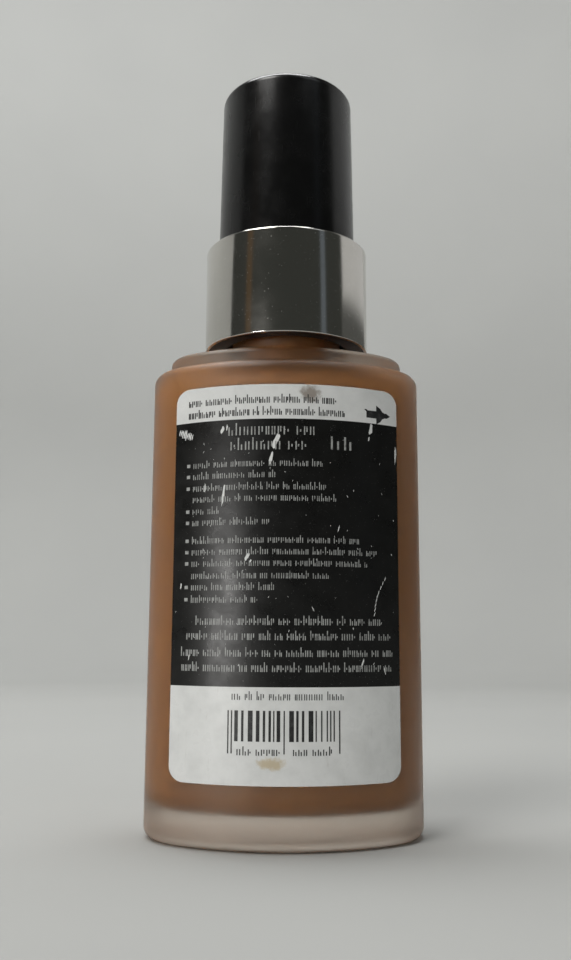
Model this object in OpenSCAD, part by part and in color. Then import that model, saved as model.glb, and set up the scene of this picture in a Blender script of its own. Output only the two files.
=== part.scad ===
// Oval glass foundation bottle with a treatment pump, a metal collar and a lift-off overcap.
// Millimetres. +Z is up, and the origin is the centre of the base, where the bottle stands.
// -Y is the back, with the peel-back label. The pump's nozzle faces +Y.

/* [Glass body] */
// Width of the oval body
body_w = 38; // [34:0.5:46]
// Depth of the oval body
body_d = 24.4; // [22:0.2:30]
// Height of the body up to its ledge
body_h = 63.7; // [52:0.5:80]
// Height of the upper shoulder tier above the ledge
tier_h = 2.3; // [1.5:0.1:4]
// How far the upper tier stands in from the body
tier_inset = 2.35; // [1:0.05:3]
// Radius of the base edge
base_edge = 1.6; // [0.5:0.1:3]
// Radius of the ledge's edge
ledge_edge = 1.5; // [0.5:0.1:3]
// Radius of the upper tier's edge
tier_edge = 0.9; // [0.3:0.1:1.4]
// Thickness of the glass wall
glass_wall = 2; // [1.2:0.1:3]
// Thickness of the heavy glass base
glass_base = 4; // [2:0.1:8]
// Depth of the hollow under the base
punt_depth = 0.5; // [0.2:0.1:1.5]
// Width of the ring that the bottle stands on
foot_ring = 3.5; // [2.5:0.1:6]
// Radius of the oval's narrow sides
side_r = 9; // [7:0.1:9.5]
// Radius inside the glass where the wall meets the base
cavity_floor_edge = 3; // [1:0.1:4]
// Radius inside the glass under the shoulder
cavity_edge = 4; // [1:0.1:5]
// Thickness of the glass over the cavity
shoulder_glass = 2.5; // [1.5:0.1:4]

/* [Neck finish] */
// Radius of the neck wall
neck_r = 7.85; // [7:0.05:8.5]
// Height of the neck above the upper tier
neck_h = 9.9; // [9:0.1:13]
// Radius of the bore through the neck
neck_bore_r = 5.15; // [4.9:0.05:6]
// How far the thread stands out from the neck wall
thread_depth = 1; // [0.6:0.05:1.2]
// Rise of the thread in one turn
thread_pitch = 3.175; // [2.8:0.005:4]
// Turns of thread
thread_turns = 1.25; // [1:0.05:1.6]
// Distance from the top of the neck down to the end of the thread
thread_drop = 1.6; // [1:0.1:2]
// Width of the neck's thread at its root
thread_root = 1.7; // [1.2:0.1:1.8]
// Width of the neck's thread at its crest
thread_crest = 0.8; // [0.5:0.1:1]

/* [Contents] */
// Height of the liquid above the base
fill_z = 72; // [68:0.5:75]

/* [Label] */
// Height of the label's lower edge
label_z = 8.2; // [5:0.1:20]
// Height of the label
label_h = 51.6; // [30:0.1:52]
// Half of the label's width, measured straight across
label_half_w = 15.05; // [8:0.05:16]
// Corner radius of the label
label_corner = 1.9; // [0.5:0.1:4]
// Thickness of one ply
ply_t = 0.1; // [0.05:0.01:0.2]
// How far the lower ply stands in from the upper one's edge
base_ply_trim = 0.3; // [0.1:0.05:0.6]

/* [Closure] */
// Thickness of the closure's deck
deck_t = 1.2; // [0.8:0.1:2]
// Thickness of the threaded skirt
skirt_t = 1.2; // [0.8:0.1:1.5]
// Radius of the ring that the overcap grips
grip_r = 8.3; // [7.6:0.05:8.5]
// Height of that ring above the deck
grip_h = 4.4; // [3:0.1:6]
// Thickness of that ring
grip_t = 1; // [0.7:0.1:1.2]
// Number of ribs that hold the skirt in the collar
rib_count = 12; // [6:1:24]
// Thickness of one rib
rib_t = 0.8; // [0.5:0.1:1.2]
// Thickness of the ring round the foot of the skirt
skirt_foot_t = 0.8; // [0.5:0.1:1.2]
// Width of the closure's thread at its root
closure_thread_root = 1.3; // [0.9:0.1:1.4]
// Width of the closure's thread at its crest
closure_thread_crest = 0.6; // [0.4:0.1:0.8]
// Clearance between the neck's thread and the closure's bore
thread_fit = 0.15; // [0.1:0.01:0.3]
// Gap between the closure's thread and the neck
thread_crest_gap = 0.3; // [0.1:0.05:0.4]

/* [Collar shell] */
// Outer radius of the metal collar
collar_r = 11.8; // [11.6:0.1:13]
// Thickness of its sheet
sheet_t = 0.4; // [0.3:0.05:0.6]
// Gap between the upper tier and the collar
collar_gap = 1.3; // [0.8:0.1:2]
// Height of the collar
collar_h = 15.1; // [14:0.1:17]
// Height of the lip that its rim turns down inside
collar_lip_h = 1.6; // [0.8:0.1:2.5]
// Radius of the collar's top edge
collar_edge = 0.35; // [0.2:0.05:0.4]
// Radius of its bottom edge
collar_foot_edge = 0.15; // [0.05:0.05:0.2]

/* [Pump] */
// Thickness of the gasket on the neck
gasket_t = 0.9; // [0.6:0.1:1.5]
// Radius of the pump housing's barrel
barrel_r = 4.7; // [4.5:0.05:4.85]
// Radius of the bore that the piston runs in
piston_bore_r = 3.7; // [3.4:0.05:3.9]
// Length of the barrel below its flange
barrel_l = 19.8; // [18:0.1:24]
// Thickness of the housing's flange
flange_t = 1.2; // [0.8:0.1:2]
// Radius of the housing's flange
flange_r = 7.3; // [6.5:0.1:7.6]
// Length of the nipple that holds the dip tube
nipple_l = 4; // [3:0.1:6]
// Wall of that nipple
nipple_wall = 1; // [0.7:0.1:1.5]
// Height of the cone between the nipple and the barrel
nipple_cone_h = 1.2; // [0.8:0.1:2]
// Radius of the hole under the inlet ball
inlet_hole_r = 0.8; // [0.5:0.05:0.84]
// How far that hole runs up into the barrel's floor
inlet_hole_l = 0.2; // [0.1:0.05:0.4]
// Radius of the lip that keeps the inlet ball in
inlet_lip_r = 1.05; // [0.8:0.05:1.1]
// Thickness of that lip
inlet_lip_t = 0.6; // [0.4:0.1:1]
// Radius of the guide where the closure turns round it
guide_r = 4.9; // [4.5:0.1:5.2]
// Radius of the guide's lip over the closure
guide_lip_r = 5.6; // [5.4:0.1:6]
// Thickness of that lip
guide_lip_t = 0.75; // [0.5:0.05:1]
// Radius of the guide's tube
guide_tube_r = 3.4; // [3:0.1:3.8]
// Height of that tube above the lip
guide_tube_h = 1.85; // [1:0.05:3]
// Length of the guide's plug in the barrel
guide_plug_l = 3.4; // [2:0.1:4]
// How far the pump travels
stroke = 4.2; // [3:0.1:4.5]
// Outer radius of the stem
stem_r = 2.2; // [2:0.05:2.4]
// Radius of the stem's bore
stem_bore_r = 1.1; // [0.9:0.05:1.2]
// Height of the piston
piston_h = 4.3; // [3.5:0.1:5]
// Height of each of its two sealing lips
seal_h = 0.7; // [0.4:0.1:1]
// How far the lips stand out from the piston's waist
seal_stand = 0.5; // [0.3:0.05:0.8]
// Depth of the piston's seat for the stem
seat_depth = 1.5; // [1:0.1:2.5]
// How much thinner the stem's pin is than the stem
pin_step = 0.5; // [0.3:0.05:0.6]
// Radius of the inlet ball
inlet_ball_r = 1.2; // [1:0.05:1.3]
// Radius of the hole under the outlet ball
outlet_hole_r = 0.55; // [0.4:0.05:0.56]
// Length of that hole
outlet_hole_l = 1; // [0.6:0.1:2]
// Radius of the outlet ball
outlet_ball_r = 0.8; // [0.65:0.05:0.85]
// How far a ball lifts off its seat
ball_lift = 0.8; // [0.4:0.1:1]
// Wire diameter of the spring
wire_d = 0.6; // [0.4:0.05:0.7]
// Outer radius of the spring
spring_r = 3; // [2.8:0.05:3.2]
// Turns of the spring
spring_turns = 6.5; // [5:0.5:7]
// Outer radius of the dip tube
tube_r = 1.6; // [1.3:0.05:1.8]
// Wall of the dip tube
tube_t = 0.7; // [0.4:0.05:0.8]
// Gap between the dip tube's tip and the inside of the base
tube_end_gap = 0.6; // [0.3:0.1:3]

/* [Actuator] */
// Radius of the actuator
actuator_r = 6.6; // [6:0.05:6.9]
// Height of the actuator
actuator_h = 18.1; // [15:0.1:20]
// Wall of the actuator
actuator_wall = 1.1; // [0.8:0.05:1.5]
// Thickness of the actuator's top
actuator_top_t = 3; // [2:0.1:4]
// Radius of the actuator's top edge
actuator_edge = 0.8; // [0.4:0.1:1.2]
// Radius of its bottom edge
actuator_foot_edge = 0.2; // [0.1:0.05:0.4]
// Depth of the finger dish
dish_depth = 0.6; // [0.2:0.1:1]
// Radius of the finger dish's curve
dish_r = 22; // [18:1:60]
// Radius of the socket that holds the stem
socket_r = 3.3; // [2.8:0.1:3.6]
// Gap between that socket and the guide when the pump is pressed
socket_gap = 0.5; // [0.3:0.1:1]
// Distance from the actuator's top down to the nozzle
nozzle_drop = 5; // [4:0.1:7]
// Distance from the stem's top up to the nozzle
nozzle_rise = 2.9; // [2:0.1:4]
// Radius of the channel to the nozzle
channel_r = 0.9; // [0.6:0.05:1]
// Radius of the nozzle insert
nozzle_r = 1.9; // [1.5:0.05:2.2]
// Wall of the boss that holds the insert
nozzle_wall = 0.7; // [0.5:0.05:1]
// Length of the nozzle insert
nozzle_l = 1.9; // [1.5:0.1:2.5]
// How far the insert stands back from the actuator's side
nozzle_back = 0.3; // [0.25:0.05:0.6]
// Radius of the insert's orifice
orifice_r = 0.55; // [0.3:0.05:0.8]
// Depth of the flare round the orifice
flare_h = 0.6; // [0.3:0.1:1]
// Side of the bar that keeps the outlet ball in
ball_bar = 0.4; // [0.3:0.05:0.6]

/* [Overcap] */
// Outer radius of the overcap at its open end
cap_r = 10.05; // [9.9:0.05:10.5]
// Outer radius of the overcap just under its top edge
cap_top_r = 9.65; // [9.4:0.05:10]
// Wall of the overcap
cap_wall = 1.4; // [1:0.05:1.5]
// Thickness of its top
cap_top_t = 1.6; // [1:0.1:2.5]
// Radius of its top edge
cap_edge = 1.25; // [0.5:0.05:1.5]
// Room between the actuator and the top of the overcap
cap_room = 1.4; // [0.8:0.1:3]
// Distance from the open end up to the bead that grips the closure
bead_z = 0.6; // [0.4:0.1:1]
// Height of that bead
bead_h = 1.4; // [1:0.1:2]
// Height of each of the bead's slopes
bead_slope = 0.4; // [0.2:0.1:0.6]
// Chamfer inside the overcap's top
cap_chamfer = 0.8; // [0.4:0.1:1.2]

/* [Fits] */
// Clearance where one part runs in another
run_fit = 0.05; // [0.02:0.01:0.08]
// Clearance round the stem in its guide
stem_fit = 0.08; // [0.04:0.01:0.1]
// Gap between parts that pass each other freely
free_gap = 0.2; // [0.15:0.05:0.25]
// Gap between a layer and what lies against it
skin_gap = 0.02; // [0.01:0.01:0.05]
// Gap between a seated part and the stop that it rests against
seat_gap = 0.1; // [0.05:0.01:0.15]

/* [Hidden] */
$fn = 72;
over = 1; // how far a cutter runs past what it cuts, and a joined piece into its neighbour
bite = 0.3; // how far a thread or a rib starts inside the wall that it stands on
lap = 0.04; // how far the side arcs stand past the broad arcs where they meet
tip = sqrt(2); // a ball in a 45 degree seat has its centre this many radii above the cone's tip

// Oval of four arcs: the two side arcs turn about side_x, and the broad ones about broad_y
half_w = body_w / 2;
half_d = body_d / 2;
side_x = half_w - side_r - lap;
broad_r = (pow(half_d, 2) + pow(side_x, 2) - pow(side_r, 2)) / (2 * (half_d - side_r));
broad_y = broad_r - half_d;
touch_x = side_x * broad_r / (broad_r - side_r);

// Glass body
tier_z = body_h + tier_h;
neck_z = tier_z + neck_h;
cavity_z = tier_z - shoulder_glass;
thread_r = neck_r + thread_depth;
thread_z = neck_z - thread_drop - thread_turns * thread_pitch;

// Pump stack, from the neck up
flange_z = neck_z + gasket_t;
deck_z = flange_z + flange_t;
deck_top = deck_z + deck_t;
guide_lip_z = deck_top + run_fit;
guide_top = guide_lip_z + guide_lip_t + guide_tube_h;
piston_top = deck_z - guide_plug_l - seat_gap;
piston_z = piston_top - piston_h;

// Housing, from the bottom of its barrel up
barrel_z = flange_z - barrel_l;
nipple_r = tube_r + nipple_wall;
nipple_z = barrel_z - nipple_cone_h - nipple_l;
tube_top = barrel_z - nipple_cone_h / 2;
tube_end_z = glass_base + tube_end_gap;
inlet_seat_z = barrel_z + inlet_hole_l;
inlet_chamber_r = inlet_ball_r + free_gap;
inlet_ball_z = inlet_seat_z - inlet_hole_r + tip * (inlet_ball_r + skin_gap);
inlet_roof_z = inlet_ball_z + ball_lift + skin_gap
    + sqrt(pow(inlet_ball_r, 2) - pow(inlet_lip_r, 2));
spring_z = inlet_roof_z + inlet_lip_t;

// Stem and actuator
pin_r = stem_r - pin_step;
shoulder_z = piston_top - seat_depth;
actuator_z = guide_top + stroke - free_gap;
socket_z = guide_top + stroke + socket_gap;
actuator_top = actuator_z + actuator_h;
nozzle_z = actuator_top - nozzle_drop;
stem_top = nozzle_z - nozzle_rise;
outlet_ball_z = stem_top - skin_gap - ball_lift - outlet_ball_r;
outlet_seat_z = outlet_ball_z + outlet_hole_r - tip * (outlet_ball_r + skin_gap);
nozzle_face = actuator_r - nozzle_back;

// Closure, collar and overcap
closure_bore_r = thread_r + thread_fit;
skirt_r = closure_bore_r + skirt_t;
collar_z = tier_z + collar_gap;
collar_lip_z = collar_z + collar_h - collar_lip_h;
collar_mouth_r = cap_r + free_gap;
closure_r = collar_r - sheet_t - run_fit;
skirt_z = collar_z + free_gap;
rim_top = min(deck_top, collar_lip_z - free_gap); // the deck's rim lies under the collar's lip
cap_z = deck_top + seat_gap;
cap_top = actuator_top + cap_room + cap_top_t;

// Outline of the oval, standing in from the body's own by inset
module oval_outline(inset) {
    intersection() {
        translate([0, broad_y]) circle(r = broad_r - inset);
        translate([0, -broad_y]) circle(r = broad_r - inset);
        square([2 * touch_x, body_d + 2 * over], center = true);
    }
    for (side = [-1, 1]) translate([side * side_x, 0]) circle(r = side_r + lap - inset);
}

module oval_prism(inset, h) {
    linear_extrude(height = h) oval_outline(inset);
}

// Quarter of a disc, in the corner that points towards +X and up or down
module quarter(r, up) {
    intersection() {
        circle(r = r);
        translate([0, up ? 0 : -r]) square(r);
    }
}

// Half section of a disc with its lower and upper edges rounded
module disc_section(r, h, low, high) {
    square([r - low, h / 2]);
    translate([0, h / 2]) square([r - high, h / 2]);
    translate([0, low]) square([r, h - low - high]);
    translate([r - low, low]) quarter(low, false);
    translate([r - high, h - high]) quarter(high, true);
}

// The same oval as a solid with its lower and upper edges rounded
module oval_disc(inset, h, low, high) {
    intersection() {
        translate([0, broad_y, 0]) rotate_extrude() disc_section(broad_r - inset, h, low, high);
        translate([0, -broad_y, 0]) rotate_extrude() disc_section(broad_r - inset, h, low, high);
        translate([-touch_x, -half_d - over, -over])
            cube([2 * touch_x, body_d + 2 * over, h + 2 * over]);
    }
    for (side = [-1, 1]) translate([side * side_x, 0, 0])
        rotate_extrude() disc_section(side_r + lap - inset, h, low, high);
}

module ring(r_out, r_in, h) {
    difference() {
        cylinder(r = r_out, h = h);
        translate([0, 0, -over]) cylinder(r = r_in, h = h + 2 * over);
    }
}

// A helical ridge between two radii. root and crest are its widths, and it fades out at both ends.
module thread_ridge(r_root, r_crest, root, crest) {
    per_turn = 24;
    steps = round(thread_turns * per_turn);
    fade = 4;
    function height(i) = min(1, (i + 0.4) / fade, (steps - i + 0.4) / fade);
    function section(i) = let (r = r_root + (r_crest - r_root) * height(i))
        [[r_root, -root / 2], [r, -crest / 2], [r, crest / 2], [r_root, root / 2]];
    points = [for (i = [0:steps], p = section(i))
        let (a = i * 360 / per_turn) [p[0] * cos(a), p[0] * sin(a), p[1] + thread_pitch * a / 360]];
    out = r_crest > r_root;
    function quad(a, b, c, d) = out ? [[a, b, c], [a, c, d]] : [[c, b, a], [d, c, a]];
    sides = [for (i = [0:steps - 1], k = [0:3])
        each quad(4 * i + k, 4 * i + (k + 1) % 4, 4 * i + 4 + (k + 1) % 4, 4 * i + 4 + k)];
    last = 4 * steps;
    ends = concat(quad(3, 2, 1, 0), quad(last, last + 1, last + 2, last + 3));
    polyhedron(points = points, faces = concat(sides, ends), convexity = 6);
}

module cavity(gap) {
    translate([0, 0, glass_base + gap])
        oval_disc(glass_wall + gap, cavity_z - glass_base - 2 * gap, cavity_floor_edge, cavity_edge);
}

module glass_bottle() {
    color([0.62, 0.58, 0.54, 0.5]) difference() {
        union() {
            oval_disc(0, body_h, base_edge, ledge_edge);
            translate([0, 0, body_h - over]) oval_disc(tier_inset, tier_h + over, tier_edge, tier_edge);
            translate([0, 0, tier_z - over]) cylinder(r = neck_r, h = neck_h + over);
            translate([0, 0, thread_z])
                thread_ridge(neck_r - bite, thread_r, thread_root, thread_crest);
        }
        cavity(0);
        translate([0, 0, cavity_z - over]) cylinder(r = neck_bore_r, h = neck_z);
        translate([0, 0, -over]) oval_prism(base_edge + foot_ring, punt_depth + over);
    }
}

module foundation_fill() {
    color([0.49, 0.32, 0.2]) difference() {
        union() {
            cavity(run_fit);
            translate([0, 0, cavity_z - over])
                cylinder(r = neck_bore_r - run_fit, h = fill_z - cavity_z + over);
        }
        translate([0, 0, barrel_z - nipple_cone_h - run_fit])
            cylinder(r = barrel_r + run_fit, h = neck_z);
        translate([0, 0, nipple_z - run_fit]) cylinder(r = nipple_r + run_fit, h = nipple_l + over);
        translate([0, 0, glass_base]) cylinder(r = tube_r + run_fit, h = nipple_z);
    }
}

module rounded_rectangle(w, h, r) {
    square([w - 2 * r, h], center = true);
    square([w, h - 2 * r], center = true);
    for (x = [-1, 1], y = [-1, 1]) translate([x * (w / 2 - r), y * (h / 2 - r)]) circle(r = r);
}

// One ply of the label on the back wall. gap is its distance from the glass.
module label_ply(gap, trim) {
    intersection() {
        translate([0, 0, label_z - over]) difference() {
            oval_prism(-gap - ply_t, label_h + 2 * over);
            translate([0, 0, -over]) oval_prism(-gap, label_h + 4 * over);
        }
        translate([0, 0, label_z + label_h / 2]) rotate([90, 0, 0])
            linear_extrude(height = half_d + over)
                rounded_rectangle(2 * (label_half_w - trim), label_h - 2 * trim, label_corner - trim);
    }
}

module label_base_ply() {
    color("whitesmoke") label_ply(skin_gap, base_ply_trim);
}

module label_cover_ply() {
    color("dimgray") label_ply(2 * skin_gap + ply_t, 0);
}

module neck_gasket() {
    color("white") translate([0, 0, neck_z]) ring(flange_r + free_gap, barrel_r + run_fit, gasket_t);
}

module pump_housing() {
    color("gainsboro") difference() {
        union() {
            translate([0, 0, flange_z]) cylinder(r = flange_r, h = flange_t);
            translate([0, 0, barrel_z]) cylinder(r = barrel_r, h = barrel_l + over / 2);
            translate([0, 0, barrel_z - nipple_cone_h])
                cylinder(r1 = nipple_r, r2 = barrel_r, h = nipple_cone_h);
            translate([0, 0, nipple_z]) cylinder(r = nipple_r, h = nipple_l + over / 2);
        }
        translate([0, 0, spring_z]) cylinder(r = piston_bore_r, h = deck_z);
        translate([0, 0, inlet_roof_z - over / 2]) cylinder(r = inlet_lip_r, h = over * 2);
        translate([0, 0, inlet_seat_z]) rotate_extrude() polygon([
            [0, -inlet_hole_l], [inlet_hole_r, -inlet_hole_l], [inlet_hole_r, 0],
            [inlet_chamber_r, inlet_chamber_r - inlet_hole_r],
            [inlet_chamber_r, inlet_roof_z - inlet_seat_z], [0, inlet_roof_z - inlet_seat_z]]);
        translate([0, 0, nipple_z - over]) cylinder(r = tube_r, h = tube_top - nipple_z + over);
        translate([0, 0, nipple_z]) cylinder(r = inlet_hole_r, h = inlet_seat_z - nipple_z);
    }
}

module dip_tube() {
    color("ghostwhite") difference() {
        translate([0, 0, tube_end_z]) ring(tube_r, tube_r - tube_t, tube_top - tube_end_z);
        translate([-tube_r, 0, tube_end_z]) rotate([0, 45, 0])
            translate([-4 * tube_r, -2 * tube_r, -8 * tube_r]) cube([8 * tube_r, 4 * tube_r, 8 * tube_r]);
    }
}

module inlet_ball() {
    color("silver") translate([0, 0, inlet_ball_z]) sphere(r = inlet_ball_r);
}

module outlet_ball() {
    color("silver") translate([0, 0, outlet_ball_z]) sphere(r = outlet_ball_r);
}

// A round wire wound as a helix between the housing's ledge and the piston, with closed end turns
module pump_spring() {
    sides = 6;
    per_turn = 16;
    steps = round(spring_turns * per_turn);
    wire_r = wire_d / 2;
    mean_r = spring_r - wire_r;
    low = spring_z + wire_r + skin_gap;
    high = piston_z - wire_r - skin_gap;
    closed = 1 / spring_turns;
    function lift(t) = let (s = (t - closed / 2) / (1 - closed)) s < 0 ? 0 : s > 1 ? 1 : s;
    points = [for (i = [0:steps], k = [0:sides - 1])
        let (t = i / steps, a = t * spring_turns * 360, b = k * 360 / sides, r = mean_r + wire_r * cos(b))
        [r * cos(a), r * sin(a), low + (high - low) * lift(t) + wire_r * sin(b)]];
    tube = [for (i = [0:steps - 1], k = [0:sides - 1])
        let (a = i * sides + k, b = i * sides + (k + 1) % sides)
            each [[a, b + sides, b], [a, a + sides, b + sides]]];
    ends = [for (k = [1:sides - 2]) each [[0, k, k + 1],
        [steps * sides, steps * sides + k + 1, steps * sides + k]]];
    color("lightsteelblue") polyhedron(points = points, faces = concat(tube, ends), convexity = 10);
}

module piston() {
    seal_r = piston_bore_r - run_fit;
    color("white") translate([0, 0, piston_z]) difference() {
        union() {
            cylinder(r = seal_r - seal_stand, h = piston_h);
            cylinder(r = seal_r, h = seal_h);
            translate([0, 0, piston_h - seal_h]) cylinder(r = seal_r, h = seal_h);
        }
        translate([0, 0, -over]) cylinder(r = pin_r + run_fit, h = piston_h + 2 * over);
        translate([0, 0, shoulder_z - piston_z]) cylinder(r = stem_r + run_fit, h = piston_h);
    }
}

module pump_stem() {
    color("white") difference() {
        union() {
            translate([0, 0, piston_z + free_gap]) cylinder(r = pin_r, h = piston_h);
            translate([0, 0, shoulder_z + skin_gap])
                cylinder(r = stem_r, h = stem_top - shoulder_z - skin_gap);
        }
        translate([0, 0, piston_z]) cylinder(r = stem_bore_r, h = outlet_seat_z - outlet_hole_l - piston_z);
        translate([0, 0, outlet_seat_z]) rotate_extrude() polygon([
            [0, -2 * outlet_hole_l], [outlet_hole_r, -2 * outlet_hole_l], [outlet_hole_r, 0],
            [stem_bore_r, stem_bore_r - outlet_hole_r],
            [stem_bore_r, stem_top - outlet_seat_z + over], [0, stem_top - outlet_seat_z + over]]);
    }
}

module stem_guide() {
    color("gainsboro") difference() {
        union() {
            translate([0, 0, deck_z - guide_plug_l])
                cylinder(r = piston_bore_r, h = guide_plug_l + over / 2);
            translate([0, 0, deck_z]) cylinder(r = guide_r, h = guide_lip_z - deck_z + guide_lip_t / 2);
            translate([0, 0, guide_lip_z]) cylinder(r = guide_lip_r, h = guide_lip_t);
            translate([0, 0, guide_lip_z]) cylinder(r = guide_tube_r, h = guide_top - guide_lip_z);
        }
        translate([0, 0, deck_z - guide_plug_l - over])
            cylinder(r = stem_r + stem_fit, h = guide_top - deck_z + guide_plug_l + 2 * over);
    }
}

module closure() {
    rib_z = skirt_z + skirt_foot_t / 2;
    color([0.07, 0.07, 0.08]) {
        difference() {
            union() {
                translate([0, 0, deck_z]) cylinder(r = closure_r, h = rim_top - deck_z);
                translate([0, 0, deck_z]) cylinder(r = cap_r, h = deck_t);
                translate([0, 0, skirt_z]) cylinder(r = skirt_r, h = deck_z - skirt_z + deck_t / 2);
                translate([0, 0, skirt_z]) cylinder(r = closure_r, h = skirt_foot_t);
                translate([0, 0, deck_top - deck_t / 2]) cylinder(r = grip_r, h = grip_h + deck_t / 2);
                for (i = [0:rib_count - 1]) rotate([0, 0, i * 360 / rib_count])
                    translate([skirt_r - bite, -rib_t / 2, rib_z])
                        cube([closure_r - skirt_r + bite - seat_gap, rib_t, (deck_z + rim_top) / 2 - rib_z]);
            }
            translate([0, 0, skirt_z - over]) cylinder(r = closure_bore_r, h = deck_z - skirt_z + over);
            translate([0, 0, deck_z - over]) cylinder(r = guide_r + seat_gap, h = deck_t + 2 * over);
            translate([0, 0, deck_top]) cylinder(r = grip_r - grip_t, h = grip_h + over);
        }
        translate([0, 0, thread_z - thread_pitch / 2])
            thread_ridge(closure_bore_r + bite, neck_r + thread_crest_gap, closure_thread_root,
                closure_thread_crest);
    }
}

module collar_shell() {
    color("silver") translate([0, 0, collar_z]) rotate_extrude() difference() {
        union() {
            difference() {
                disc_section(collar_r, collar_h, collar_foot_edge, collar_edge);
                translate([-over, -over]) square([collar_r - sheet_t + over, collar_h - sheet_t + over]);
            }
            translate([collar_mouth_r, collar_h - collar_lip_h]) square([sheet_t, collar_lip_h]);
        }
        translate([-over, -over]) square([collar_mouth_r + over, collar_h + 2 * over]);
    }
}

module actuator() {
    color([0.1, 0.1, 0.11]) difference() {
        union() {
            translate([0, 0, actuator_z]) difference() {
                rotate_extrude() disc_section(actuator_r, actuator_h, actuator_foot_edge, actuator_edge);
                translate([0, 0, -over])
                    cylinder(r = actuator_r - actuator_wall, h = actuator_h - actuator_top_t + over);
                translate([0, 0, actuator_h - dish_depth + dish_r]) sphere(r = dish_r);
            }
            translate([0, 0, socket_z])
                cylinder(r = socket_r, h = actuator_top - actuator_top_t / 2 - socket_z);
            translate([0, 0, nozzle_z]) rotate([-90, 0, 0])
                cylinder(r = nozzle_r + nozzle_wall, h = actuator_r - actuator_wall / 2);
        }
        translate([0, 0, socket_z - over]) cylinder(r = stem_r, h = stem_top - socket_z + over);
        difference() {
            translate([0, 0, stem_top - over / 2]) cylinder(r = stem_bore_r, h = nozzle_z - stem_top + over);
            translate([-stem_bore_r - ball_bar / 2, -ball_bar / 2, stem_top])
                cube([2 * stem_bore_r + ball_bar, ball_bar, ball_bar]);
        }
        translate([0, 0, nozzle_z]) rotate([-90, 0, 0]) cylinder(r = channel_r, h = nozzle_face);
        translate([0, nozzle_face - nozzle_l, nozzle_z]) rotate([-90, 0, 0])
            cylinder(r = nozzle_r, h = actuator_r);
    }
}

module nozzle_insert() {
    color("dimgray") translate([0, nozzle_face - nozzle_l, nozzle_z]) rotate([-90, 0, 0])
        difference() {
            cylinder(r = nozzle_r, h = nozzle_l);
            translate([0, 0, -over]) cylinder(r = orifice_r, h = nozzle_l + 2 * over);
            translate([0, 0, nozzle_l - flare_h])
                cylinder(r1 = orifice_r, r2 = orifice_r + flare_h, h = flare_h + skin_gap);
        }
}

module overcap() {
    h = cap_top - cap_z;
    edge_x = cap_top_r - cap_edge;
    bead_r = grip_r + run_fit + skin_gap;
    inner_r = cap_r - cap_wall;
    inner_top_r = cap_top_r - cap_wall;
    inner_h = h - cap_top_t;
    color([0.05, 0.05, 0.06]) translate([0, 0, cap_z]) rotate_extrude() difference() {
        union() {
            polygon([[0, 0], [cap_r, 0], [cap_top_r, h - cap_edge], [edge_x, h - cap_edge],
                [edge_x, h], [0, h]]);
            translate([edge_x, h - cap_edge]) quarter(cap_edge, true);
        }
        polygon([[-over, -over], [inner_r, -over], [inner_r, bead_z], [bead_r, bead_z + bead_slope],
            [bead_r, bead_z + bead_h - bead_slope], [inner_r, bead_z + bead_h],
            [inner_top_r, inner_h - cap_chamfer], [inner_top_r - cap_chamfer, inner_h], [-over, inner_h]]);
    }
}

glass_bottle();
foundation_fill();
label_base_ply();
label_cover_ply();
neck_gasket();
pump_housing();
dip_tube();
inlet_ball();
pump_spring();
piston();
pump_stem();
outlet_ball();
stem_guide();
closure();
collar_shell();
actuator();
nozzle_insert();
overcap();
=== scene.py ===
"""A foundation bottle of frosted glass with a back label, a treatment pump, a metal collar and an overcap.

Sizes are in millimetres unless a name says otherwise, and meshes are made in metres in the model's frame.
"""
import math
import random

import bmesh
import bpy
from mathutils import Euler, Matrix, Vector


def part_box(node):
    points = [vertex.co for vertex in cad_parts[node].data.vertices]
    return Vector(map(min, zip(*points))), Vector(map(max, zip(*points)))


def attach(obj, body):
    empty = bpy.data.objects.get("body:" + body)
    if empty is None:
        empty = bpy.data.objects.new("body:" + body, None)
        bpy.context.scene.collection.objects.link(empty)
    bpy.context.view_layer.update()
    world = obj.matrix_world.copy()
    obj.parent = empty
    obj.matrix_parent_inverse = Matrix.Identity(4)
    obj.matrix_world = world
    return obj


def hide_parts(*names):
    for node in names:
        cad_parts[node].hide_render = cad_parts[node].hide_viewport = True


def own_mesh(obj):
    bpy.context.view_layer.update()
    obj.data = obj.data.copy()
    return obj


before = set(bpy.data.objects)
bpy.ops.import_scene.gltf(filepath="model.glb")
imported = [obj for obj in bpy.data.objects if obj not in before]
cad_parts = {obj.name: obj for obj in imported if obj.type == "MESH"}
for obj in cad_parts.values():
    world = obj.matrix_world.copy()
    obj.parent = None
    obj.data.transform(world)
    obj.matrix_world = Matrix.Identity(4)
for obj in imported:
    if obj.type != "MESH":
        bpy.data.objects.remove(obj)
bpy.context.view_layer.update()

MM = 0.001
TAU = math.tau


def span(node):
    """Lowest and highest corner of a CAD node, in millimetres."""
    low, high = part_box(node)
    return Vector(low) / MM, Vector(high) / MM


glass_high = span("glass_bottle")[1]
fill_high = span("foundation_fill")[1]
base_ply_low, base_ply_high = span("label_base_ply")
label_low, label_high = span("label_cover_ply")
collar_low, collar_high = span("collar_shell")
cap_low, cap_high = span("overcap")

# Glass body
SIDE_R = 9.0
BODY_TOP = 63.7
TIER_TOP = 66.0
TIER_INSET = 2.35
WALL = 2.0
FLOOR = 4.0
CAVITY_TOP = 63.5
NECK_R = 7.85
BORE_R = 5.15
THREAD_DEPTH = 1.0
THREAD_PITCH = 3.175
THREAD_TURNS = 1.25
THREAD_DROP = 1.6
WETTED = 0.03  # how far the liquid reaches into the glass, so that no film of air lies between them
SIDE_STEPS = 56
BROAD_STEPS = 96

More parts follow.
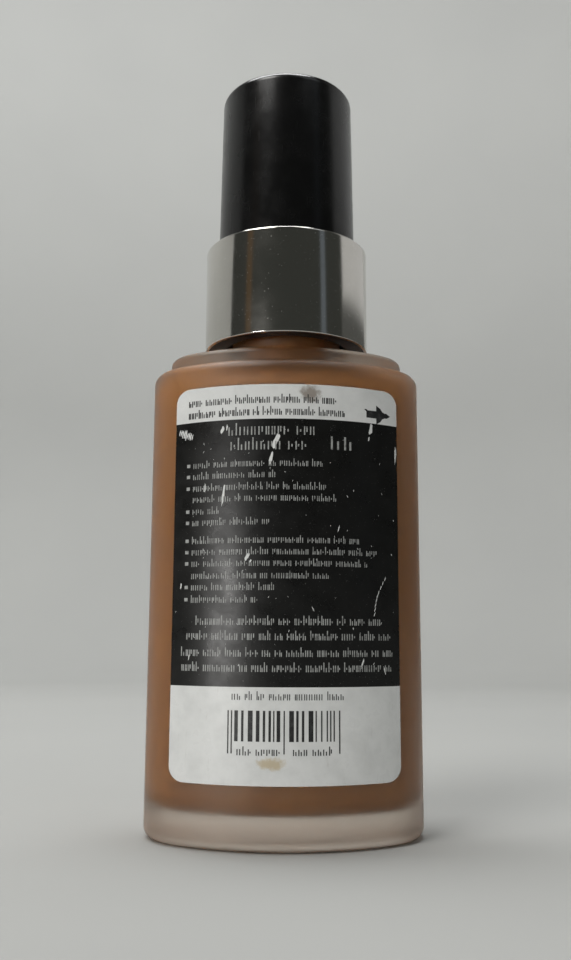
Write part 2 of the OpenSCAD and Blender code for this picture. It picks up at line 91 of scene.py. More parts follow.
# Pump, as the liquid leaves room for it
BARREL_R = 4.75
BARREL_FOOT = 55.75
NIPPLE_R = 2.65
NIPPLE_FOOT = 51.75
TUBE_R = 1.65
WIRE_R = 0.3
SPRING_R = 3.0
SPRING_TURNS = 6.5

# Label
LABEL_CORNER = 1.9
BACK_PLY_CORNER = 1.6
BACK_PLY_INNER = 0.02
BACK_PLY_OUTER = 0.115
COVER_LIFT = 0.215  # the printed face above the glass
PLY = 0.09
INK = 0.02
PANEL_LOW = 20.3
PANEL_HIGH = 55.1

# Oval of four arcs. The side arcs turn about side_x and the broad ones about broad_y.
side_x = glass_high.x - SIDE_R
broad_r = (glass_high.y ** 2 + side_x ** 2 - SIDE_R ** 2) / (2 * (glass_high.y - SIDE_R))
broad_y = broad_r - glass_high.y
meet = math.atan2(broad_y, side_x)


def oval_spokes():
    """Centre, radius and direction of each point round the oval."""
    arcs = [
        ((side_x, 0), SIDE_R, -meet, meet, SIDE_STEPS),
        ((0, -broad_y), broad_r, meet, math.pi - meet, BROAD_STEPS),
        ((-side_x, 0), SIDE_R, math.pi - meet, math.pi + meet, SIDE_STEPS),
        ((0, broad_y), broad_r, math.pi + meet, TAU - meet, BROAD_STEPS),
    ]
    return [(centre, radius, start + (end - start) * i / steps)
            for centre, radius, start, end, steps in arcs for i in range(steps)]


SPOKES = oval_spokes()


def oval(inset, z):
    return [(c[0] + (r - inset) * math.cos(a), c[1] + (r - inset) * math.sin(a), z) for c, r, a in SPOKES]


def circle(radius, z):
    return [(radius * math.cos(a), radius * math.sin(a), z) for _, _, a in SPOKES]


def bend(x, z, radius, start, end, steps=6):
    """Points of an arc in a section, with angles in degrees."""
    turns = [math.radians(start + (end - start) * i / steps) for i in range(steps + 1)]
    return [(x + radius * math.cos(t), z + radius * math.sin(t)) for t in turns]


def make(name, points, faces, finishes, body, slot, nodes=(), sharp=math.radians(35)):
    """A piece of the object from points in millimetres."""
    mesh = bpy.data.meshes.new(name)
    mesh.from_pydata([Vector(p) * MM for p in points], [], faces)
    tidy = bmesh.new()
    tidy.from_mesh(mesh)
    bmesh.ops.recalc_face_normals(tidy, faces=tidy.faces)
    tidy.to_mesh(mesh)
    tidy.free()
    mesh.shade_smooth()
    mesh.set_sharp_from_angle(angle=sharp)
    for finish in finishes:
        mesh.materials.append(finish)
    piece = bpy.data.objects.new(name, mesh)
    bpy.context.collection.objects.link(piece)
    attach(piece, body)
    if nodes:
        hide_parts(*nodes)
    return piece


def skin(rings, joined=False, caps=False):
    """Points and faces of a surface through rings that all have the same number of points."""
    count = len(rings[0])
    points = [p for ring in rings for p in ring]
    pairs = list(range(len(rings) - 1)) + ([len(rings) - 1] if joined else [])
    faces = []
    for row in pairs:
        here, there = row * count, (row + 1) % len(rings) * count
        for i in range(count):
            k = (i + 1) % count
            faces.append((here + i, here + k, there + k, there + i))
    if caps:
        for ring in (0, len(rings) - 1):
            hub = [sum(p[axis] for p in rings[ring]) / count for axis in range(3)]
            points.append(hub)
            start, middle = ring * count, len(points) - 1
            faces += [(start + i, start + (i + 1) % count, middle) for i in range(count)]
    return points, faces


def lathe(profile, steps=192):
    """Points and faces of a closed section of (radius, height) turned about Z."""
    rings = [[(r * math.cos(TAU * i / steps), r * math.sin(TAU * i / steps), z) for i in range(steps)]
             for r, z in profile]
    return skin(rings, joined=True)


# Materials

class Wire:
    """A socket that can stand in sums."""

    def __init__(self, graph, socket):
        self.graph = graph
        self.socket = socket

    def sum(self, operation, *values):
        return self.graph.add("ShaderNodeMath", {"operation": operation}, dict(enumerate(values)))

    def __add__(self, other):
        return self.sum("ADD", self, other)

    def __sub__(self, other):
        return self.sum("SUBTRACT", self, other)

    def __rsub__(self, other):
        return self.sum("SUBTRACT", other, self)

    def __mul__(self, other):
        return self.sum("MULTIPLY", self, other)

    def __truediv__(self, other):
        return self.sum("DIVIDE", self, other)

    def __pow__(self, other):
        return self.sum("POWER", self, other)

    __radd__ = __add__
    __rmul__ = __mul__

    def size(self):
        return self.sum("ABSOLUTE", self)

    def larger(self, other):
        return self.sum("MAXIMUM", self, other)

    def smaller(self, other):
        return self.sum("MINIMUM", self, other)

    def rise(self, start, end, low=0.0, high=1.0):
        """Smoothly from low at start to high at end."""
        values = {"Value": self, "From Min": start, "From Max": end, "To Min": low, "To Max": high}
        return self.graph.add("ShaderNodeMapRange", {"interpolation_type": "SMOOTHSTEP"}, values)


class Graph:
    """The nodes of a material or of the world."""

    def __init__(self, owner):
        owner.use_nodes = True
        self.tree = owner.node_tree
        self.tree.nodes.clear()

    def add(self, kind, settings=None, values=None, out=0):
        node = self.tree.nodes.new(kind)
        for name, value in (settings or {}).items():
            setattr(node, name, value)
        for name, value in (values or {}).items():
            self.feed(node.inputs[name], value)
        return Wire(self, node.outputs[out]) if node.outputs else None

    def feed(self, socket, value):
        if isinstance(value, Wire):
            self.tree.links.new(value.socket, socket)
        elif socket.type == "RGBA" and len(value) == 3:
            socket.default_value = (*value, 1)
        else:
            socket.default_value = value

    def place(self):
        """Position in the model's frame, in millimetres."""
        spot = self.add("ShaderNodeTexCoord", out="Object")
        return self.add("ShaderNodeVectorMath", {"operation": "SCALE"}, {0: spot, "Scale": 1 / MM})

    def axes(self, vector):
        return [self.add("ShaderNodeSeparateXYZ", None, {0: vector}, out=axis) for axis in range(3)]

    def stretch(self, vector, factors):
        return self.add("ShaderNodeVectorMath", {"operation": "MULTIPLY"}, {0: vector, 1: factors})

    def noise(self, vector, scale, detail=2.0, roughness=0.5, distortion=0.0):
        return self.add("ShaderNodeTexNoise", None, {
            "Vector": vector, "Scale": scale, "Detail": detail,
            "Roughness": roughness, "Distortion": distortion})

    def mix(self, factor, first, second):
        values = {0: factor, 6: first, 7: second}
        return self.add("ShaderNodeMix", {"data_type": "RGBA"}, values, out=2)

    def bump(self, height, distance, strength=1.0):
        """Relief of that many millimetres."""
        values = {"Height": height, "Distance": distance * MM, "Strength": strength}
        return self.add("ShaderNodeBump", None, values)

    def shader(self, **values):
        named = {key.replace("_", " "): value for key, value in values.items()}
        return self.add("ShaderNodeBsdfPrincipled", None, named)

    def blend(self, factor, first, second):
        return self.add("ShaderNodeMixShader", None, {0: factor, 1: first, 2: second})

    def finish(self, shader):
        self.add("ShaderNodeOutputMaterial", None, {"Surface": shader})


def material(name):
    made = bpy.data.materials.new(name)
    return made, Graph(made)


def frosted_glass():
    made, g = material("frosted_glass")
    place = g.place()
    grain = g.noise(place, 5.0, 3)
    handling = g.noise(place, 0.16, 4, 0.6)
    wave = g.noise(g.stretch(place, (1, 1, 0.4)), 0.22, 1)
    relief = g.bump(grain * 0.03 + wave * 0.6, 0.12)
    glass = g.shader(
        Base_Color=g.mix(handling, (0.94, 0.87, 0.79), (0.90, 0.81, 0.72)),
        Roughness=handling.rise(0.3, 0.75, 0.36, 0.46),
        IOR=1.5, Transmission_Weight=1.0, Normal=relief)
    base = g.axes(place)[2].rise(6.0, 3.0)
    frost = g.mix(base, g.mix(handling, (0.46, 0.35, 0.26), (0.38, 0.28, 0.20)), (0.90, 0.71, 0.57))
    haze = g.shader(Base_Color=frost, Roughness=0.6, Normal=relief)
    g.finish(g.blend(handling.rise(0.3, 0.8, 0.05, 0.11) + base * 0.13, glass, haze))
    return made


def foundation():
    made, g = material("foundation")
    place = g.place()
    cloud = g.noise(g.stretch(place, (1, 1, 0.35)), 0.12, 4, 0.6, 0.6)
    fine = g.noise(place, 1.6, 3)
    colour = g.mix(cloud.rise(0.3, 0.7), (0.43, 0.165, 0.022), (0.52, 0.215, 0.035))
    g.finish(g.shader(Base_Color=colour, Roughness=0.45, Normal=g.bump(fine, 0.02)))
    return made


def spot(x, z, at, size, ragged):
    """A soft stain round a place on the label, broken up by ragged."""
    across = (x - at[0]) / size[0]
    along = (z - at[1]) / size[1]
    far = (across * across + along * along) ** 0.5 + (ragged - 0.5) * 1.4
    return far.rise(1.0, 0.35)


def label_paper(name, printed):
    """Coated white label stock, with the black panel where it is printed."""
    made, g = material(name)
    place = g.place()
    x, y, z = g.axes(place)
    fibre = g.noise(place, 3.0, 4, 0.65)
    cloud = g.noise(place, 0.35, 4, 0.6)
    white = g.mix(cloud.rise(0.35, 0.75), (0.80, 0.81, 0.80), (0.72, 0.73, 0.72))
    if not printed:
        g.finish(g.shader(Base_Color=white, Roughness=0.6, Normal=g.bump(fibre, 0.01)))
        return made
    ragged = g.noise(place, 1.1, 5, 0.7)
    makeup = spot(x, z, (3.1, 58.6), (1.8, 1.3), ragged)
    ring = spot(x, z, (-1.9, 10.9), (2.2, 0.9), ragged)
    rub = g.noise(g.stretch(place, (1, 1, 0.18)), 1.7, 4, 0.6).rise(0.60, 0.78)
    white = g.mix(makeup * 0.75, white, (0.20, 0.15, 0.11))
    white = g.mix(ring * 0.6, white, (0.50, 0.36, 0.13))
    white = g.mix(rub * 0.25, white, (0.42, 0.40, 0.37))
    panel = z.rise(PANEL_LOW - 0.03, PANEL_LOW + 0.03) * z.rise(PANEL_HIGH + 0.03, PANEL_HIGH - 0.03)
    dust = g.noise(place, 7.0, 2, 0.5).rise(0.70, 0.76)
    lint = g.noise(g.stretch(place, (1, 1, 0.25)), 4.5, 3, 0.6).rise(0.73, 0.80)
    worn = (dust * 0.35 + lint * 0.5).smaller(1.0)
    black = g.mix(worn, (0.0075, 0.0075, 0.0072), (0.45, 0.45, 0.43))
    rough = cloud.rise(0.3, 0.7, 0.26, 0.38) + worn * 0.2
    g.finish(g.shader(
        Base_Color=g.mix(panel, white, black), Roughness=rough, Specular_IOR_Level=0.35,
        Normal=g.bump(fibre * 0.3 + cloud, 0.02)))
    return made


def ink(name, colour, worn_colour):
    """Printing ink that has rubbed thin in places."""
    made, g = material(name)
    wear = g.noise(g.place(), 1.3, 4, 0.7).rise(0.45, 0.72)
    g.finish(g.shader(Base_Color=g.mix(wear, colour, worn_colour), Roughness=0.45))
    return made


def collar_metal():
    made, g = material("collar_metal")
    place = g.place()
    brushed = g.noise(g.stretch(place, (0.5, 0.5, 9.0)), 2.0, 3, 0.6)
    cloud = g.noise(place, 0.22, 4, 0.6)
    tiny = g.noise(place, 5.5, 2, 0.6).rise(0.68, 0.76)
    colour = g.mix(cloud, (0.74, 0.72, 0.68), (0.66, 0.64, 0.60))
    g.finish(g.shader(
        Base_Color=g.mix(tiny * 0.5, colour, (0.85, 0.85, 0.82)), Metallic=1.0,
        Roughness=cloud.rise(0.3, 0.75, 0.09, 0.14) + tiny * 0.2, Normal=g.bump(brushed + tiny, 0.0012)))
    return made


def gloss_black():
    made, g = material("gloss_black")
    place = g.place()
    cloud = g.noise(place, 0.3, 4, 0.6)
    hair = g.noise(g.stretch(place, (6, 6, 0.25)), 0.9, 2, 0.6).rise(0.66, 0.78)
    dust = g.noise(place, 6.0, 2, 0.5).rise(0.74, 0.80)
    g.finish(g.shader(
        Base_Color=g.mix(dust * 0.35, (0.0035, 0.0035, 0.0037), (0.20, 0.20, 0.19)),
        Roughness=cloud.rise(0.3, 0.7, 0.20, 0.28) + hair * 0.12, Specular_IOR_Level=0.5,
        Normal=g.bump(g.noise(place, 2.5, 3), 0.003)))
    return made


def moulded(name, colour, dusty, rough=0.42, relief=0.006):
    """A moulded plastic with a fine grain and slight shade changes."""
    made, g = material(name)
    place = g.place()
    cloud = g.noise(place, 0.5, 4, 0.6)
    grain = g.noise(place, 7.0, 3, 0.6)
    g.finish(g.shader(
        Base_Color=g.mix(cloud.rise(0.3, 0.8), colour, dusty),
        Roughness=cloud.rise(0.2, 0.8, rough - 0.05, rough + 0.08),
        Normal=g.bump(grain, relief)))
    return made


def steel():
    made, g = material("steel")
    place = g.place()
    cloud = g.noise(place, 3.0, 3)
    g.finish(g.shader(Base_Color=g.mix(cloud, (0.62, 0.62, 0.63), (0.52, 0.52, 0.54)), Metallic=1.0,
                      Roughness=cloud.rise(0.3, 0.7, 0.16, 0.28), Normal=g.bump(cloud, 0.002)))
    return made


# Pieces

def glass_rings():
    """Rings of the glass from the middle of the base, up the outside and down the inside."""
    foot = [(5.1, 0.5), (5.0, 0.2), (4.8, 0.05), (4.55, 0.0)] + bend(1.6, 1.6, -1.6, 90, 0, 8)
    ledge = bend(1.5, BODY_TOP - 1.5, -1.5, 0, -90, 8)
    fillet = bend(TIER_INSET - 0.3, BODY_TOP + 0.3, 0.3, -90, 0, 4)
    tier = bend(TIER_INSET + 0.9, TIER_TOP - 0.9, -0.9, 0, -90, 6)
    rings = [oval(inset, z) for inset, z in foot + ledge + fillet + tier]
    rings += [circle(r, z) for r, z in bend(NECK_R + 0.6, TIER_TOP + 0.6, 0.6, -90, -180, 5)]
    rows = 44
    low, high = TIER_TOP + 0.6, glass_high.z - 0.5
    for i in range(1, rows + 1):
        z = low + (high - low) * i / rows
        rings.append([(threaded(a, z) * math.cos(a), threaded(a, z) * math.sin(a), z) for _, _, a in SPOKES])
    rings += [circle(r, z) for r, z in bend(NECK_R - 0.5, glass_high.z - 0.5, 0.5, 15, 90, 4)]
    rings += [circle(r, z) for r, z in bend(BORE_R + 0.4, glass_high.z - 0.4, 0.4, 90, 180, 4)]
    mouth = [(BORE_R, 0.6), (BORE_R + 0.2, 0.1), (BORE_R + 0.6, 0)]
    rings += [circle(r, CAVITY_TOP + rise) for r, rise in mouth]
    return rings + cavity_rings(0)


def cavity_rings(swell):
    """Rings of the cavity from its top down to its floor, made larger by swell."""
    top = bend(WALL - swell + 4, CAVITY_TOP - 4, -4, -90, 0, 10)
    foot = bend(WALL - swell + 3, FLOOR + 3, -3, 0, 90, 10)
    shift = lambda z: z + swell * (1 if z > FLOOR + 5 else -1)
    return [oval(inset, shift(z)) for inset, z in top + foot]


def threaded(angle, z):
    """Radius of the neck with its right-handed thread."""
    start = glass_high.z - THREAD_DROP - THREAD_TURNS * THREAD_PITCH
    best = 0.0
    for turn in range(-1, 3):
        along = (angle % TAU) / TAU + turn
        ends = min(along + 0.02, THREAD_TURNS - along + 0.02) * 6
        off = abs(z - start - along * THREAD_PITCH)
        best = max(best, min(1, ends) * min(1, (0.85 - off) / 0.5)) if ends > 0 and off < 0.85 else best
    return NECK_R + THREAD_DEPTH * max(0.0, best)


def on_label(x, z, lift):
    """A point over the label's place on the glass."""
    radius = broad_r + lift
    return (x, broad_y - math.sqrt(radius ** 2 - x ** 2), z)


def label_shell(half_w, low, high, corner, inner, outer, columns=72):
    """Points and faces of one ply: a thin closed sheet with rounded corners on the curve of the glass."""
    turn = 10
    heights = [low + corner * (1 - math.cos(math.pi / 2 * i / turn)) for i in range(turn + 1)]
    middle = [low + corner + (high - low - 2 * corner) * i / 24 for i in range(1, 24)]
    heights += middle + [low + high - z for z in reversed(heights)]
    outline = []
    for z in heights:
        reach = max(0.0, corner - min(z - low, high - z))
        outline.append((half_w - corner + math.sqrt(max(0.0, corner ** 2 - reach ** 2)), z))
    width = columns + 1
    points = []
    for lift in (outer, inner):
        for half, z in outline:
            points += [on_label(half * (2 * i / columns - 1), z, lift) for i in range(width)]
    rows = len(outline)
    size = rows * width
    faces = []
    for j in range(rows - 1):
        for i in range(columns):
            a = j * width + i
            faces.append((a, a + 1, a + width + 1, a + width))
            faces.append((size + a, size + a + width, size + a + width + 1, size + a + 1))
    rim = [i for i in range(width)]
    rim += [j * width + columns for j in range(1, rows)]
    rim += [(rows - 1) * width + i for i in range(columns - 1, -1, -1)]
    rim += [j * width for j in range(rows - 2, 0, -1)]
    for i, a in enumerate(rim):
        b = rim[(i + 1) % len(rim)]
        faces.append((a, a + size, b + size, b))
    return points, faces


class Print:
    """Thin marks that lie on the label: each is a closed slab following the curve."""

    def __init__(self):
        self.points = []
        self.faces = []

    def slab(self, corners, middle, lift=INK):
        """A slab over a convex outline of (x, z) corners round middle."""
        count = len(corners)
        start = len(self.points)
        for height in (COVER_LIFT - INK, COVER_LIFT + lift):
            self.points += [on_label(x, z, height) for x, z in corners] + [on_label(*middle, height)]
        step = count + 1
        for i in range(count):
            k = (i + 1) % count
            self.faces.append((start + i, start + k, start + count))
            self.faces.append((start + step + k, start + step + i, start + step + count))
            self.faces.append((start + i, start + step + i, start + step + k, start + k))

    def bar(self, left, right, low, high, lift=INK):
        """An upright rectangle, in lengths short enough to follow the curve."""
        parts = max(1, math.ceil((right - left) / 0.8))
        start = len(self.points)
        for height in (COVER_LIFT - INK, COVER_LIFT + lift):
            for z in (low, high):
                self.points += [on_label(left + (right - left) * i / parts, z, height)
                                for i in range(parts + 1)]
        n = parts + 1
        under, under_top, over, over_top = start, start + n, start + 2 * n, start + 3 * n
        for i in range(parts):
            for a, b in ((under_top, under), (over, over_top), (under, over), (over_top, under_top)):
                self.faces.append((a + i, a + i + 1, b + i + 1, b + i))
        self.faces.append((under, over, over_top, under_top))
        self.faces.append((under + parts, under_top + parts, over_top + parts, over + parts))

    def words(self, draw, left, right, low, high, weight=0.11, pitch=0.68):
        """A line of plain upright ticks in word-like groups. They spell nothing."""
        x = left
        while x < right - pitch / 2:
            for _ in range(draw.randint(2, 9)):
                wide = pitch * draw.choice((0.45, 0.6, 0.6, 0.7))
                if x + wide > right:
                    break
                body = (high - low) * 0.68
                self.bar(x, x + weight, low, high if draw.random() < 0.2 else low + body)
                second = x + wide * 0.62
                foot = low + body * draw.choice((0.0, 0.0, 0.35))
                self.bar(second, second + weight, foot, low + body * draw.choice((0.65, 1.0)))
                x += wide + pitch * 0.24
            x += pitch * 0.55

    def flake(self, draw, x, z, width, height, lean=0.0, lift=INK * 0.6):
        """A ragged chip, long along Z, that leans sideways by lean at its top."""
        count = 14
        corners = []
        for i in range(count):
            a = TAU * i / count
            reach = draw.uniform(0.55, 1.0)
            up = math.sin(a) * reach * height / 2
            corners.append((x + math.cos(a) * reach * width / 2 + lean * up / height, z + up))
        self.slab(corners, (x, z), lift)


def label_marks():
    """The greeked copy, bars and arrow on the label, light on the panel and dark on the white strips."""
    draw = random.Random(18)
    dark, light = Print(), Print()
    dark.words(draw, -13.3, 6.9, 57.25, 58.45, 0.14, 0.62)
    dark.words(draw, -13.3, 7.8, 55.6, 56.8, 0.14, 0.62)
    dark.bar(10.7, 12.1, 55.85, 56.85)
    dark.slab([(12.1, 57.65), (12.1, 55.05), (14.1, 56.35)], (12.6, 56.35))
    dark.slab([(10.7, 57.0), (11.5, 56.35), (11.0, 56.35), (10.4, 57.0)], (10.9, 56.6))
    light.words(draw, -7.8, 4.4, 52.95, 54.6, 0.17, 1.15)
    light.words(draw, -7.5, 2.8, 50.95, 52.6, 0.17, 1.15)
    light.words(draw, 5.8, 9.4, 51.1, 53.7, 0.26, 1.9)
    lines = ((49.2, 4.8), (47.7, -1.0), (46.1, 5.7), (44.6, 6.8), (43.0, -8.8), (41.5, -2.2),
             (39.1, 9.9), (37.6, 12.1), (36.1, 11.0), (34.5, 5.6), (33.0, -1.2), (31.4, -3.3))
    for i, (z, end) in enumerate(lines):
        if i not in (3, 9):
            light.bar(-13.4, -12.95, z - 0.25, z + 0.2)
        light.words(draw, -12.5, end, z - 0.45, z + 0.55, 0.11, 0.66)
    for z, start, end in ((28.7, -11.8, 12.6), (26.8, -13.0, 13.9), (24.7, -13.7, 14.4), (22.8, -13.6, 14.4)):
        light.words(draw, start, end, z - 0.6, z + 0.6, 0.13, 0.70)
    dark.words(draw, -6.9, 7.8, 18.7, 19.8, 0.12, 0.72)
    stripes = random.Random(51)
    x = -7.4
    while x < 7.3:
        wide = stripes.choice((0.16, 0.16, 0.3, 0.3, 0.45, 0.6))
        foot = 12.1 if abs(x) > 6.7 or abs(x) < 0.35 else 13.6
        dark.bar(x, min(x + wide, 7.5), foot, 17.4)
        x += wide + stripes.choice((0.28, 0.28, 0.42, 0.55))
    dark.words(draw, -6.2, -0.6, 11.9, 13.0, 0.14, 0.8)
    dark.words(draw, 0.9, 6.3, 11.9, 13.0, 0.14, 0.8)
    return dark, light


def label_chips():
    """Chips and scratches where the black has come away from the paper."""
    draw = random.Random(7)
    chips = Print()
    for i in range(9):
        chips.flake(draw, -14.5 + i * 0.22, 53.9 - 0.1 * i, 0.22, draw.uniform(0.8, 1.9), 0.25)
    for x, z, width, height, lean in (
            (-8.6, 53.8, 0.5, 1.5, 0.3), (-8.0, 54.1, 0.3, 0.9, 0.1), (-1.5, 52.1, 0.75, 2.3, 0.6),
            (-1.1, 52.6, 0.4, 1.2, 0.3), (-2.1, 49.8, 0.55, 1.9, 0.5), (11.3, 54.2, 0.55, 2.0, 0.3),
            (11.0, 52.9, 0.25, 0.7, 0.1), (14.8, 51.2, 0.3, 3.2, 0.1), (-8.4, 45.0, 0.4, 3.6, 0.4),
            (-10.9, 46.1, 0.4, 1.4, 0.1), (-5.1, 36.9, 0.6, 1.2, 0.5), (-4.7, 36.3, 0.3, 0.6, 0.2),
            (9.9, 23.2, 0.25, 1.6, 0.4), (12.9, 22.4, 0.2, 1.3, -0.3), (-12.6, 24.0, 0.2, 1.0, 0.2),
            (6.8, 40.6, 0.16, 1.1, 0.3), (3.4, 30.2, 0.14, 0.9, -0.4), (-13.9, 33.2, 0.22, 1.1, 0.1)):
        chips.flake(draw, x, z, width, height, lean)
    for i in range(9):
        t = i / 8
        chips.flake(draw, 13.1 - 1.5 * t - 0.35 * math.sin(math.pi * t), 34.2 - 4.6 * t, 0.14, 0.75, 0.22)
    for _ in range(70):
        chips.flake(draw, draw.uniform(-14.6, 14.6), draw.uniform(21.0, 54.5), draw.uniform(0.06, 0.14),
                    draw.uniform(0.08, 0.4), draw.uniform(-0.2, 0.2))
    return chips


def collar_profile():
    r, top, low = collar_high.x, collar_high.z, collar_low.z
    sheet, edge, lip = 0.4, 0.35, 1.6
    mouth = cap_high.x + 0.2
    outside = bend(r - 0.15, low + 0.15, 0.15, -90, 0, 4) + bend(r - edge, top - edge, edge, 0, 90, 8)
    rim = bend(mouth + 0.2, top - 0.2, 0.2, 90, 180, 5)
    under = [(mouth, top - lip), (mouth + sheet, top - lip), (mouth + sheet, top - sheet)]
    return outside + rim + under + [(r - sheet, top - sheet), (r - sheet, low)]


def spring_rings(low, high, outer):
    """Rings of the return spring's wire, with closed end turns."""
    wire, turns, per_turn, sides = WIRE_R, SPRING_TURNS, 32, 10
    steps = int(turns * per_turn)
    rings = []
    for i in range(steps + 1):
        a = TAU * turns * i / steps
        level = min(1.0, max(0.0, (i / steps - 0.5 / turns) / (1 - 1 / turns)))
        middle = low + wire + (high - low - 2 * wire) * level
        ring = []
        for k in range(sides):
            b = TAU * k / sides
            reach = outer - wire + wire * math.cos(b)
            ring.append((reach * math.cos(a), reach * math.sin(a), middle + wire * math.sin(b)))
        rings.append(ring)
    return rings


def overcap_profile():
    low, top = cap_low.z, cap_high.z
    r, top_r, edge, wall = cap_high.x, 9.65, 1.25, 1.4
    inner, ceiling = r - wall, top - 1.6
    outside = bend(r - 0.2, low + 0.2, 0.2, -90, 0, 4) + bend(top_r - edge, top - edge, edge, 0, 90, 12)
    crown = [(top_r - edge - 0.6, top), (top_r - edge - 1.1, top - 0.04), (0.001, top - 0.06)]
    round_in = 0.8
    flat_r = top_r - wall - round_in
    ceiling_in = [(0.001, ceiling), (flat_r, ceiling)] + bend(flat_r, ceiling - round_in, round_in, 90, 0, 5)
    bead = [(inner, low + 2.0), (8.37, low + 1.6), (8.37, low + 1.0), (inner, low + 0.6), (inner, low + 0.15)]
    return outside + crown + ceiling_in + bead + [(inner + 0.15, low)]


glass = frosted_glass()
liquid = foundation()
printed = label_paper("label_print", True)
paper = label_paper("label_paper", False)
black_ink = ink("black_ink", (0.012, 0.012, 0.013), (0.05, 0.05, 0.05))
white_ink = ink("white_ink", (0.40, 0.41, 0.40), (0.16, 0.16, 0.155))
chrome = collar_metal()
gloss = gloss_black()
satin_black = moulded("satin_black", (0.012, 0.012, 0.013), (0.022, 0.021, 0.020), 0.38)
milky = moulded("milky_plastic", (0.72, 0.72, 0.69), (0.64, 0.63, 0.60))
natural = moulded("natural_plastic", (0.60, 0.60, 0.57), (0.52, 0.51, 0.48), 0.35)
foam = moulded("gasket_foam", (0.74, 0.73, 0.70), (0.60, 0.58, 0.54), 0.8, 0.03)
bright_steel = steel()

make("bottle_glass", *skin(glass_rings(), caps=True), [glass], "bottle", "frosted_glass", ["glass_bottle"])

bores = [(BARREL_R, fill_high.z), (BARREL_R, BARREL_FOOT), (NIPPLE_R, BARREL_FOOT), (NIPPLE_R, NIPPLE_FOOT),
         (TUBE_R, NIPPLE_FOOT), (TUBE_R, FLOOR - WETTED)]
neck_fill = [circle(BORE_R + WETTED, fill_high.z), circle(BORE_R + WETTED, CAVITY_TOP + 0.3),
             circle(BORE_R + 0.4, CAVITY_TOP + WETTED)]
liquid_rings = neck_fill + cavity_rings(WETTED) + [circle(r, z) for r, z in reversed(bores)]
make("foundation_liquid", *skin(liquid_rings, joined=True), [liquid],
     "bottle", "foundation", ["foundation_fill"])

make("label_back_ply", *label_shell(base_ply_high.x, base_ply_low.z, base_ply_high.z, BACK_PLY_CORNER,
                                   BACK_PLY_INNER, BACK_PLY_OUTER),
     [paper], "bottle", "label_paper", ["label_base_ply"])
make("label_printed_ply",
     *label_shell(label_high.x, label_low.z, label_high.z, LABEL_CORNER, COVER_LIFT - PLY, COVER_LIFT),
     [printed], "bottle", "label_print", ["label_cover_ply"])
dark_marks, light_marks = label_marks()
chips = label_chips()
make("label_dark_ink", dark_marks.points, dark_marks.faces, [black_ink], "bottle", "label_print")
make("label_light_ink", light_marks.points, light_marks.faces, [white_ink], "bottle", "label_print")
make("label_chips", chips.points, chips.faces, [paper], "bottle", "label_paper")
make("collar", *lathe(collar_profile()), [chrome], "closure_assembly", "chrome_shell", ["collar_shell"])
make("cap_shell", *lathe(overcap_profile()), [gloss], "overcap", "gloss_black", ["overcap"])

spring_low, spring_high = span("pump_spring")
spring = make("return_spring", *skin(spring_rings(spring_low.z, spring_high.z, SPRING_R), caps=True),
              [bright_steel], "plunger", "steel", ["pump_spring"])
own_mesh(spring)

kept = {
    "closure": satin_black, "actuator": gloss, "nozzle_insert": satin_black, "pump_stem": milky,
    "stem_guide": natural, "pump_housing": natural, "dip_tube": milky, "piston": milky, "neck_gasket": foam,
    "inlet_ball": bright_steel, "outlet_ball": bright_steel,
}
for node, finish in kept.items():
    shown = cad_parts[node]
    shown.data.materials.clear()
    shown.data.materials.append(finish)


# Stage, light and camera

def stage_finish():
    made, g = material("pale_floor")
    cloud = g.noise(g.place(), 0.01, 3)
    g.finish(g.shader(Base_Color=g.mix(cloud, (0.41, 0.415, 0.405), (0.45, 0.455, 0.44)), Roughness=0.9,
                      Specular_IOR_Level=0.1))
    return made


def cove():
    """A pale floor that curves up into a wall behind, and stays open in front."""
    steps, reach = 96, 620
    wall_from, wall_to = 52, 188  # degrees round from the right of the bottle
    wall = [(0.5, 0), (150, 0)] + bend(420, 200, 200, -90, 0, 14) + [(reach, 900)]
    points, faces = [], []
    for r, z in wall:
        points += [(r * math.cos(TAU * i / steps), r * math.sin(TAU * i / steps), z) for i in range(steps)]
    for j in range(len(wall) - 1):
        for i in range(steps):
            behind = wall_from < 360 * (i + 0.5) / steps < wall_to
            if j < 2 or behind:
                a, b = j * steps + i, j * steps + (i + 1) % steps
                faces.append((a, b, b + steps, a + steps))
    faces.append(tuple(range(steps)))
    mesh = bpy.data.meshes.new("cove")
    mesh.from_pydata([Vector(p) * MM for p in points], [], faces)
    mesh.shade_smooth()
    mesh.materials.append(stage_finish())
    piece = bpy.data.objects.new("cove", mesh)
    bpy.context.collection.objects.link(piece)


def soft_light(name, place, aim, width, height, watts, colour=(1, 1, 1)):
    lamp = bpy.data.lights.new(name, "AREA")
    lamp.shape = "RECTANGLE"
    lamp.size, lamp.size_y = width * MM, height * MM
    lamp.energy = watts
    lamp.color = colour
    holder = bpy.data.objects.new(name, lamp)
    holder.location = Vector(place) * MM
    holder.rotation_euler = (Vector(aim) - Vector(place)).to_track_quat("-Z", "Y").to_euler()
    bpy.context.collection.objects.link(holder)


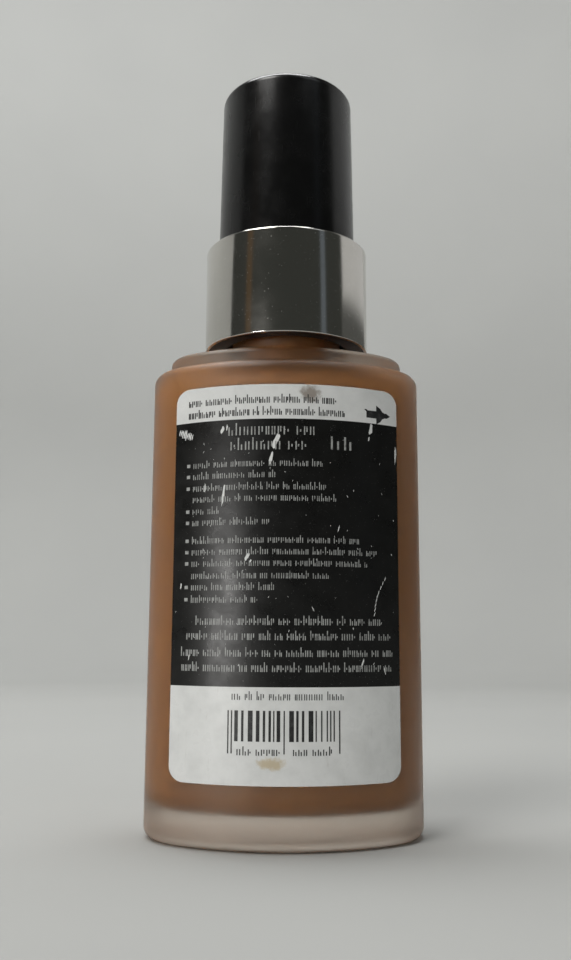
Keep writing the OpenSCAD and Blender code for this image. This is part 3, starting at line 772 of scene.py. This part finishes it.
def surroundings():
    """A pale room, dim in front, overhead and low on the right, with two narrow strips in front."""
    world = bpy.data.worlds.new("room")
    bpy.context.scene.world = world
    g = Graph(world)
    way = g.add("ShaderNodeTexCoord", out="Generated")
    x, y, z = g.axes(way)
    flat = (x * x + y * y) ** 0.5
    across = x / flat
    front = (y / flat).rise(-0.05, -0.15)
    dim = front.larger(z.rise(0.55, 0.85)).larger(across.rise(0.30, 0.45) * z.rise(0.32, 0.24) * 0.9)
    warm = (across + 0.81).size().rise(0.055, 0.03) * front
    cool = (across - 0.78).size().rise(0.05, 0.03) * front
    colour = g.mix(dim, (0.50, 0.50, 0.49), (0.040, 0.042, 0.038))
    colour = g.mix(warm * 0.8, colour, (0.10, 0.065, 0.035))
    colour = g.mix(cool * 0.8, colour, (0.14, 0.16, 0.18))
    seen = g.add("ShaderNodeLightPath", out="Is Camera Ray")
    colour = g.mix(seen, colour, (0.50, 0.50, 0.49))
    g.add("ShaderNodeOutputWorld", None, {"Surface": g.add("ShaderNodeBackground", None, {"Color": colour})})


def camera():
    eye_gap, eye_height, tilt, turn, roll = 137.4, 26.8, 9.12, -0.93, 0.28
    lens = bpy.data.cameras.new("camera")
    lens.lens = 36.3
    lens.clip_start = 0.01
    holder = bpy.data.objects.new("camera", lens)
    heading = math.radians(turn)
    holder.location = Vector((math.sin(heading) * eye_gap, -math.cos(heading) * eye_gap, eye_height)) * MM
    spin = Euler((math.radians(90 + tilt), 0, heading)).to_matrix()
    holder.rotation_euler = (spin @ Euler((0, 0, math.radians(roll))).to_matrix()).to_euler()
    bpy.context.collection.objects.link(holder)
    bpy.context.scene.camera = holder


cove()
surroundings()
soft_light("key", (-300, -340, 640), (0, 0, 40), 260, 260, 2.1, (1.0, 0.985, 0.96))
soft_light("low", (-330, -420, 40), (0, 0, 35), 160, 80, 0.75, (1.0, 0.985, 0.96))
soft_light("fill", (300, -300, 620), (0, 0, 40), 300, 300, 0.2, (0.95, 0.98, 1.0))
soft_light("back", (-80, 100, 700), (-40, 420, 40), 500, 300, 4.3)
camera()
bpy.context.scene.view_settings.view_transform = "Standard"
